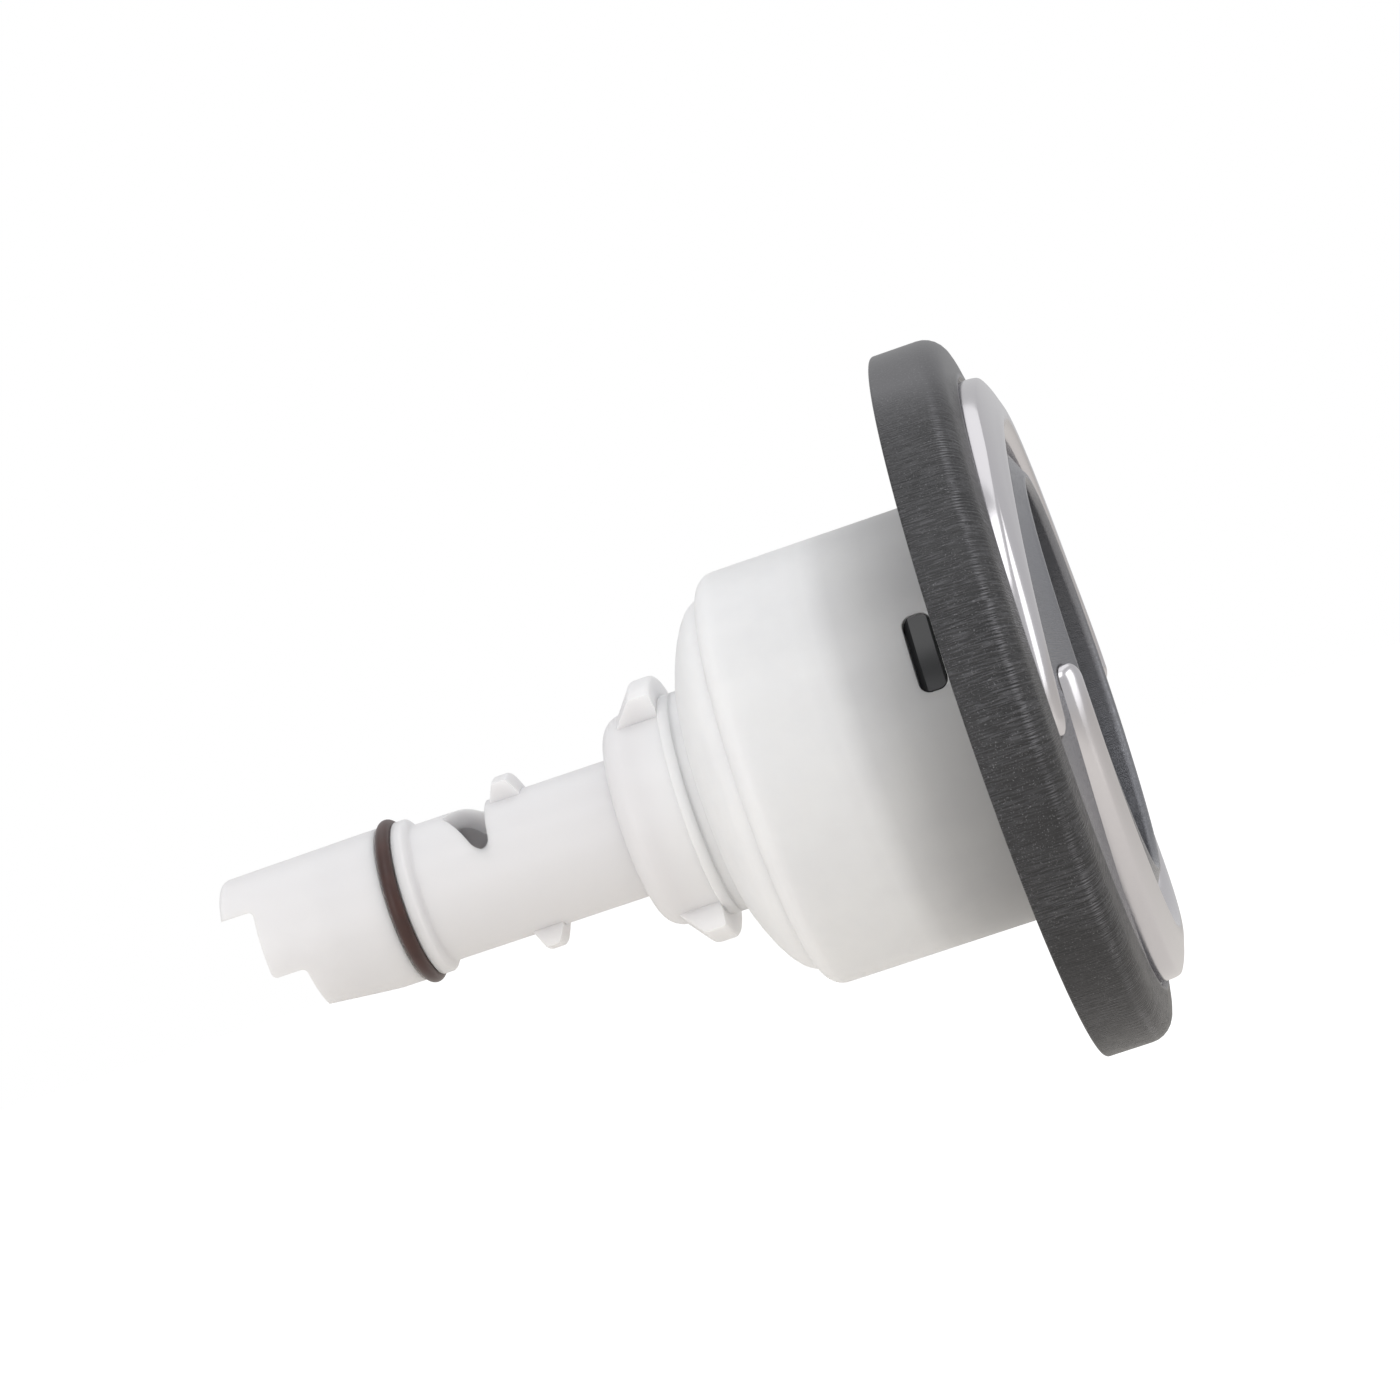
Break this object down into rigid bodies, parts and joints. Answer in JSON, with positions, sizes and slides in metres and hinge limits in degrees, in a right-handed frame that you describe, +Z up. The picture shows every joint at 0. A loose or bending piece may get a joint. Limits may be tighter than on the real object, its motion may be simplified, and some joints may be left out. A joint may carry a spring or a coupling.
{
  "type": "hot tub jet insert",
  "caption": "Round hot tub jet insert: dark face with polished swirl trims, clear white barrel and stem, and a spinning rotor with tilted outlets inside.",
  "frame": {"origin": "centre of the barrel's axis, in the plane of the face's back edge, which lies on the tub wall", "axes": "+X out of the tub wall along the jet, towards the bather; +Z up; -X towards the inlet end of the stem"},
  "size_m": [0.1574, 0.127, 0.127],
  "materials": {
    "graphite_abs": "moulded, fine streaks and a metallic fleck",
    "polished_trim": "mirror polished",
    "black_nylon": "moulded, glossy",
    "natural_polypropylene": "moulded, translucent white",
    "rotor_plastic": "moulded, satin",
    "bearing_steel": "ground",
    "cage_nylon": "moulded, ivory",
    "spring_steel": "drawn wire, satin",
    "brown_rubber": "smooth",
    "black_rubber": "smooth"
  },
  "bodies": {
    "housing": {"bezel": "graphite_abs", "trim_upper": "polished_trim", "trim_lower": "polished_trim", "latch_collar": "black_nylon", "barrel": "natural_polypropylene", "bearing_outer_race": "bearing_steel", "bearing_balls": "bearing_steel", "bearing_cage": "cage_nylon", "bearing_retainer": "natural_polypropylene", "stem": "natural_polypropylene", "neck_clip": "spring_steel", "neck_seal": "black_rubber", "stem_seal": "brown_rubber", "suction_nozzle": "natural_polypropylene"},
    "rotor": {"rotor_cup": "natural_polypropylene", "rotor_face": "rotor_plastic", "outlet_upper": "rotor_plastic", "outlet_lower": "rotor_plastic", "bearing_inner_race": "bearing_steel", "thrust_washer": "cage_nylon", "hub_snap_ring": "spring_steel"}
  },
  "joints": [
    {"name": "rotor_spin", "type": "hinge", "parent": "housing", "child": "rotor", "pos_m": [-0.02, 0, 0], "axis": [1, 0, 0], "continuous": true}
  ]
}
